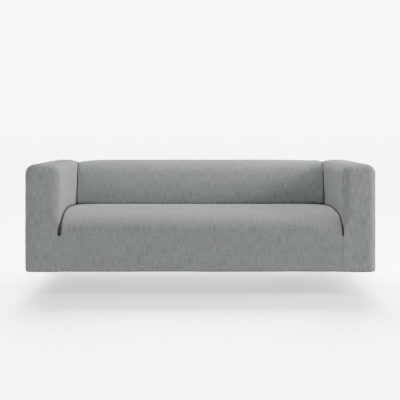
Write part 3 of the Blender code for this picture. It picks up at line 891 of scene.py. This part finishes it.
LEGS = 0.115                    # the sofa's legs, which are left out, hold the hem up so far
FLOOR = -ORIGIN[2] - LEGS
FLOOR_REACH = 60.0
FLOOR_LIGHT = 58.0
FLOOR_LIGHT_ANGLE = math.radians(50)    # wide, for a soft shadow
FLOOR_LIGHT_TILT = math.radians(-66)    # it comes from behind, so that the shadow lies in front
FLOOR_GLOW = 0.72
SHOWN_BACKGROUND = 8.2
ROOM_BLEND = 0.15               # of the room's upper and lower light, above and below the horizon
AIM = (0.0, 0.16, 0.0)
# Lamps: name, place, size and power
LAMPS = (
    ("top", (0.0, 0.2, 3.2), 2.4, 108.0),
    ("back_high", (0.6, 2.2, 2.8), 2.0, 93.0),
    ("right_side", (3.4, -0.6, 1.2), 1.6, 140.0),
    ("right_high", (2.6, 0.0, 2.4), 1.6, 9.0),
    ("left_front", (-2.6, -2.2, 2.0), 1.6, 16.0),
)


def floor():
    """A wide pale floor that is lit by a light of its own and lights nothing itself."""
    corners = ((-1, -1), (1, -1), (1, 1), (-1, 1))
    mesh = bpy.data.meshes.new("floor")
    mesh.from_pydata([(x * FLOOR_REACH, y * FLOOR_REACH, FLOOR) for x, y in corners],
                     [], [(0, 1, 2, 3)])
    material = bpy.data.materials.new("pale_floor")
    nodes = Nodes(material)
    place = nodes.add("ShaderNodeTexCoord").outputs["Object"]
    mottle = nodes.noise(place, (0.8, 0.8))
    colour = nodes.add("ShaderNodeVectorMath",
                       {0: (0.90, 0.90, 0.90), "Scale": nodes.smooth(mottle, 0.0, 1.0, 0.99, 1.01)},
                       operation="SCALE").outputs[0]
    nodes.tree.links.new(colour, nodes.shader.inputs["Base Color"])
    nodes.shader.inputs["Roughness"].default_value = 0.9
    nodes.shader.inputs["Specular IOR Level"].default_value = 0.0
    nodes.shader.inputs["Emission Color"].default_value = (1.0, 1.0, 1.0, 1.0)
    nodes.shader.inputs["Emission Strength"].default_value = FLOOR_GLOW
    mesh.materials.append(material)
    plane = bpy.data.objects.new("floor", mesh)
    plane.visible_diffuse = False
    plane.visible_glossy = False
    plane.visible_shadow = False
    lit = bpy.data.collections.new("floor_only")
    lit.objects.link(plane)
    bpy.context.scene.collection.children.link(lit)
    data = bpy.data.lights.new("floor_light", "SUN")
    data.angle = FLOOR_LIGHT_ANGLE
    data.energy = FLOOR_LIGHT
    light = bpy.data.objects.new("floor_light", data)
    light.rotation_euler = (FLOOR_LIGHT_TILT, 0.0, 0.0)
    light.light_linking.receiver_collection = lit
    bpy.context.scene.collection.objects.link(light)


def lamp(name, place, aim, size, power):
    """A round area light that shines from a place towards another."""
    data = bpy.data.lights.new(name, "AREA")
    data.shape = "DISK"
    data.size = size
    data.energy = power
    light = bpy.data.objects.new(name, data)
    light.location = place
    light.rotation_euler = (Vector(aim) - Vector(place)).to_track_quat("-Z", "Y").to_euler()
    bpy.context.scene.collection.objects.link(light)


def studio(above, below):
    """A white room: its light from above and below, and a background for the camera alone."""
    world = bpy.data.worlds.new("studio")
    bpy.context.scene.world = world
    world.use_nodes = True
    tree = world.node_tree
    room = tree.nodes["Background"]
    shown = tree.nodes.new("ShaderNodeBackground")
    shown.inputs["Strength"].default_value = SHOWN_BACKGROUND
    place = tree.nodes.new("ShaderNodeTexCoord")
    split = tree.nodes.new("ShaderNodeSeparateXYZ")
    fade = tree.nodes.new("ShaderNodeMapRange")
    fade.inputs["From Min"].default_value = -ROOM_BLEND
    fade.inputs["From Max"].default_value = ROOM_BLEND
    fade.inputs["To Min"].default_value = below
    fade.inputs["To Max"].default_value = above
    path = tree.nodes.new("ShaderNodeLightPath")
    mix = tree.nodes.new("ShaderNodeMixShader")
    join = tree.links.new
    join(place.outputs["Generated"], split.inputs[0])
    join(split.outputs["Z"], fade.inputs["Value"])
    join(fade.outputs[0], room.inputs["Strength"])
    room.inputs["Color"].default_value = (1.0, 1.0, 1.0, 1.0)
    shown.inputs["Color"].default_value = (1.0, 1.0, 1.0, 1.0)
    join(path.outputs["Is Camera Ray"], mix.inputs["Fac"])
    join(room.outputs[0], mix.inputs[1])
    join(shown.outputs[0], mix.inputs[2])
    join(mix.outputs[0], tree.nodes["World Output"].inputs["Surface"])


floor()
studio(above=0.0, below=1.51)
for name, place, size, power in LAMPS:
    lamp(name, place, AIM, size, power)

SENSOR = 36.0                   # millimetres
PHOTO_SIZE = 400                # pixels, each way
FOCAL_PIXELS = 752.0
HORIZON = 132.5                 # row of the photo's horizon
CENTRE_COLUMN = 200.35          # column of the sofa's middle
CAMERA_PITCH = math.radians(1.6)
CAMERA_AHEAD = 3.83             # of the cover's front face
CAMERA_HEIGHT = 0.712           # above the hem
data = bpy.data.cameras.new("camera")
data.sensor_width = SENSOR
data.lens = FOCAL_PIXELS / PHOTO_SIZE * SENSOR
camera = bpy.data.objects.new("camera", data)
camera.location = (0.0, -ORIGIN[1] - CAMERA_AHEAD, CAMERA_HEIGHT - ORIGIN[2])
camera.rotation_euler = Euler((math.pi / 2 - CAMERA_PITCH, 0.0, 0.0))
data.shift_x = (PHOTO_SIZE / 2 - CENTRE_COLUMN) / PHOTO_SIZE
data.shift_y = (HORIZON - PHOTO_SIZE / 2 + FOCAL_PIXELS * math.tan(CAMERA_PITCH)) / PHOTO_SIZE
bpy.context.scene.collection.objects.link(camera)
bpy.context.scene.camera = camera
